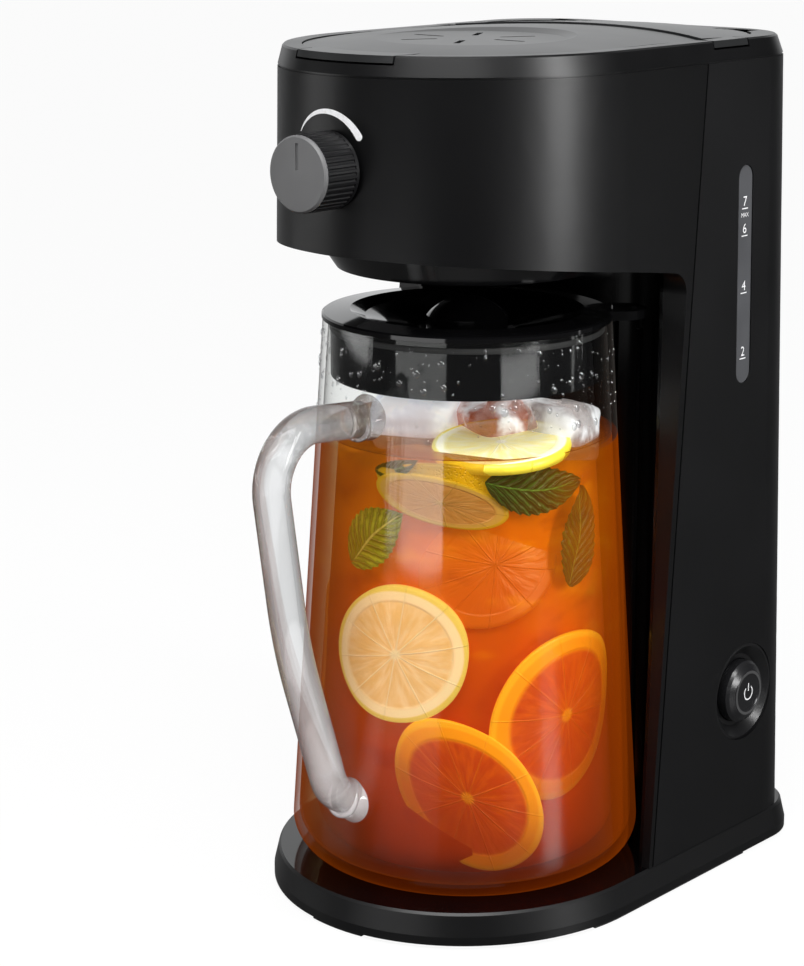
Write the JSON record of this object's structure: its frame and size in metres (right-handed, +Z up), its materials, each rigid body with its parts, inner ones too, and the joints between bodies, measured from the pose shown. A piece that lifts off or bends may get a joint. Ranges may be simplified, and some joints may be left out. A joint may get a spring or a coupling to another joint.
{
  "type": "iced tea maker",
  "caption": "Upright drip iced tea maker with a rear water tank, an overhanging brewing drum under crowned lids, a round front knob and a tapered glass jug with a rod handle.",
  "frame": {"origin": "on the surface it stands on, under the middle of the whole machine from the front of the jug handle to the back of the base", "axes": "+Z up; -Y is the front, with the knob and the jug handle; +X is the side with the level window and the power button"},
  "size_m": [0.1602, 0.26, 0.3477],
  "materials": {
    "housing": "black moulded plastic, low sheen",
    "base": "black moulded plastic, glossy",
    "cover": "matt black plastic",
    "lid": "black moulded plastic, satin",
    "drum": "black plastic, glossy",
    "basket": "dark grey plastic",
    "mesh": "fine woven mesh",
    "tank": "smoky clear plastic",
    "window": "smoked lens",
    "rubber": "black rubber",
    "silicone": "milky silicone",
    "steel": "plated steel",
    "casting": "as cast",
    "switch": "black moulded plastic",
    "knob": "black, satin",
    "knob_face": "black, brushed sheen",
    "button": "black, satin",
    "ring": "bright",
    "jug_glass": "clear, polished",
    "jug_lid": "black, glossy"
  },
  "bodies": {
    "machine": {"base_tray": "base", "base_cover": "cover", "base_screws": "steel", "base_pads": "rubber", "front_housing": "housing", "rear_shell": "housing", "cord_gland": "rubber", "level_window": "window", "window_gasket": "silicone", "top_frame": "housing", "brew_drum": "drum", "brew_basket": "basket", "filter_frame": "basket", "filter_mesh": "mesh", "water_spout": "switch", "water_tank": "tank", "heater_block": "casting", "heater_bracket": "steel", "thermostat": "switch", "thermal_fuse": "silicone", "fuse_clip": "steel", "inlet_hose": "silicone", "check_valve": "switch", "riser_hose": "silicone", "hose_clips": "steel", "selector_seat": "basket", "switch_bezel": "housing", "button_spring": "steel", "power_switch": "switch", "switch_carrier": "switch"},
    "brew_lid": {"brew_lid": "lid", "brew_lid_pins": "steel"},
    "tank_lid": {"tank_lid": "lid", "tank_lid_pins": "steel"},
    "knob": {"strength_knob": "knob", "knob_cap": "knob_face", "knob_shaft": "switch", "selector_disc": "basket"},
    "power_button": {"power_button": "button", "button_ring": "ring"},
    "jug": {"jug_glass": "jug_glass", "jug_handle": "jug_glass"},
    "jug_lid": {"jug_lid": "jug_lid", "jug_lid_seal": "silicone"}
  },
  "joints": [
    {"name": "brew_lid_hinge", "type": "hinge", "parent": "machine", "child": "brew_lid", "pos_m": [0, 0.04395, 0.341], "axis": [-1, 0, 0], "range_deg": [0, 85]},
    {"name": "tank_lid_hinge", "type": "hinge", "parent": "machine", "child": "tank_lid", "pos_m": [0, 0.11155, 0.3426], "axis": [-1, 0, 0], "range_deg": [0, 80]},
    {"name": "knob_turn", "type": "hinge", "parent": "machine", "child": "knob", "pos_m": [0, -0.09705, 0.302], "axis": [0, 1, 0], "range_deg": [-60, 60]},
    {"name": "button_press", "type": "slide", "parent": "machine", "child": "power_button", "axis": [-1, 0, 0], "range_m": [0, 0.0025], "stiffness_N_per_m": 250, "springref_m": -0.004, "deforming": ["button_spring"]},
    {"name": "jug_out", "type": "slide", "parent": "machine", "child": "jug", "axis": [0, -1, 0], "range_m": [0, 0.2]},
    {"name": "jug_lid_turn", "type": "hinge", "parent": "jug", "child": "jug_lid", "pos_m": [0, -0.00965, 0.236], "axis": [0, 0, 1], "range_deg": [-40, 50]}
  ]
}
